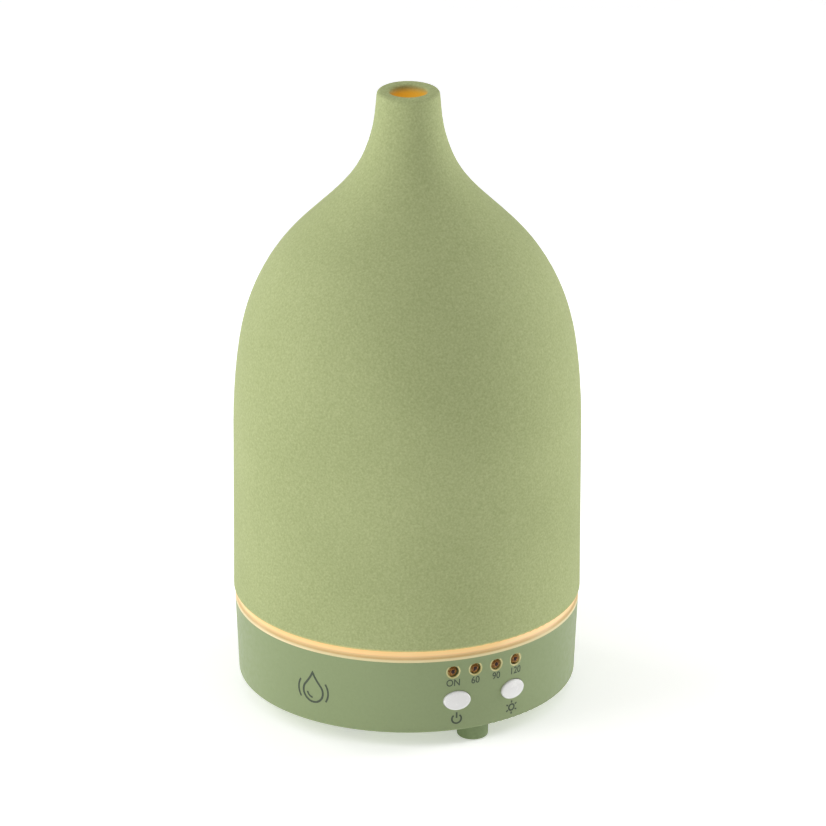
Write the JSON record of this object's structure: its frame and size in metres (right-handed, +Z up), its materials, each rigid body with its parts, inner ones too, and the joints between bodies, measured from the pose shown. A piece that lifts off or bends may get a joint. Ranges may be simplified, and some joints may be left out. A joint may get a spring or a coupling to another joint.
{
  "type": "essential oil diffuser",
  "caption": "Ultrasonic oil diffuser: bottle-shaped ceramic cover with a narrow neck over a tank, on a round plastic base with a light ring, push buttons and indicator lamps.",
  "frame": {"origin": "on the axis of revolution at table level, under the feet", "axes": "+Z up through the neck; the control panel faces -Y; the power inlet faces +Y"},
  "size_m": [0.0912, 0.0912, 0.1652],
  "materials": {
    "cover_glaze": "matte, finely sanded glaze",
    "base_plastic": "satin moulded plastic",
    "ring_plastic": "frosted, lit from inside",
    "tank_plastic": "translucent milky plastic",
    "button_plastic": "gloss white",
    "lens_plastic": "clear water-white epoxy",
    "leadframe": "plated leadframe",
    "soft_rubber": "soft matte",
    "silicone": "satin silicone",
    "screw_steel": "zinc plated",
    "board_laminate": "solder mask",
    "black_plastic": "moulded black",
    "white_plastic": "moulded natural nylon",
    "can_aluminium": "sleeved can",
    "sink_aluminium": "anodised extrusion",
    "ferrite": "sintered ferrite",
    "copper_wire": "enamelled copper",
    "piezo_brass": "plated disc with fired electrode",
    "wire_insulation": "PVC insulation",
    "led_package": "phosphor filled package"
  },
  "bodies": {
    "base": {"base_housing": "base_plastic", "bottom_cover": "base_plastic", "bulk_capacitor": "can_aluminium", "choke_core": "ferrite", "choke_winding": "copper_wire", "control_board": "board_laminate", "control_leads": "wire_insulation", "dc_jack": "black_plastic", "dc_jack_contact": "screw_steel", "dc_jack_pin": "screw_steel", "driver_chip": "black_plastic", "fan_frame": "black_plastic", "fan_leads": "wire_insulation", "fan_screws": "screw_steel", "fan_stator": "copper_wire", "foot_front": "soft_rubber", "foot_left": "soft_rubber", "foot_right": "soft_rubber", "heat_sink": "sink_aluminium", "housing_screws": "screw_steel", "indicator_120": "lens_plastic", "indicator_120_leads": "leadframe", "indicator_60": "lens_plastic", "indicator_60_leads": "leadframe", "indicator_90": "lens_plastic", "indicator_90_leads": "leadframe", "indicator_on": "lens_plastic", "indicator_on_leads": "leadframe", "led_ring_board": "board_laminate", "light_ring": "ring_plastic", "light_switch": "black_plastic", "main_board": "board_laminate", "main_board_screws": "screw_steel", "output_capacitor": "can_aluminium", "power_switch": "black_plastic", "power_transistor": "black_plastic", "retainer_screws": "screw_steel", "ring_leads": "wire_insulation", "ring_leds": "led_package", "tank_gasket": "silicone", "transducer_disc": "piezo_brass", "transducer_leads": "wire_insulation", "transducer_retainer": "screw_steel", "transducer_seal": "silicone", "water_tank": "tank_plastic", "wire_plugs": "white_plastic", "wire_sockets": "white_plastic"},
    "cover": {"ceramic_cover": "cover_glaze"},
    "lid": {"inner_lid": "tank_plastic", "mist_chimney": "tank_plastic"},
    "power_key": {"power_button": "button_plastic", "power_switch_plunger": "white_plastic"},
    "light_key": {"light_button": "button_plastic", "light_switch_plunger": "white_plastic"},
    "fan_wheel": {"fan_rotor": "black_plastic"}
  },
  "joints": [
    {"name": "cover_lift", "type": "slide", "parent": "base", "child": "cover", "axis": [0, 0, 1], "range_m": [0, 0.16]},
    {"name": "lid_lift", "type": "slide", "parent": "base", "child": "lid", "axis": [0, 0, 1], "range_m": [0, 0.072]},
    {"name": "power_press", "type": "slide", "parent": "base", "child": "power_key", "axis": [0, 1, 0], "range_m": [0, 0.0005], "stiffness_N_per_m": 1500, "springref_m": -0.0003},
    {"name": "light_press", "type": "slide", "parent": "base", "child": "light_key", "axis": [0, 1, 0], "range_m": [0, 0.0005], "stiffness_N_per_m": 1500, "springref_m": -0.0003},
    {"name": "fan_spin", "type": "hinge", "parent": "base", "child": "fan_wheel", "pos_m": [-0.0175, 0, 0.0104], "axis": [0, 0, 1], "continuous": true}
  ],
  "couplings": [
    {"joint": "lid_lift", "follows": "cover_lift", "ratio": 0.45}
  ]
}
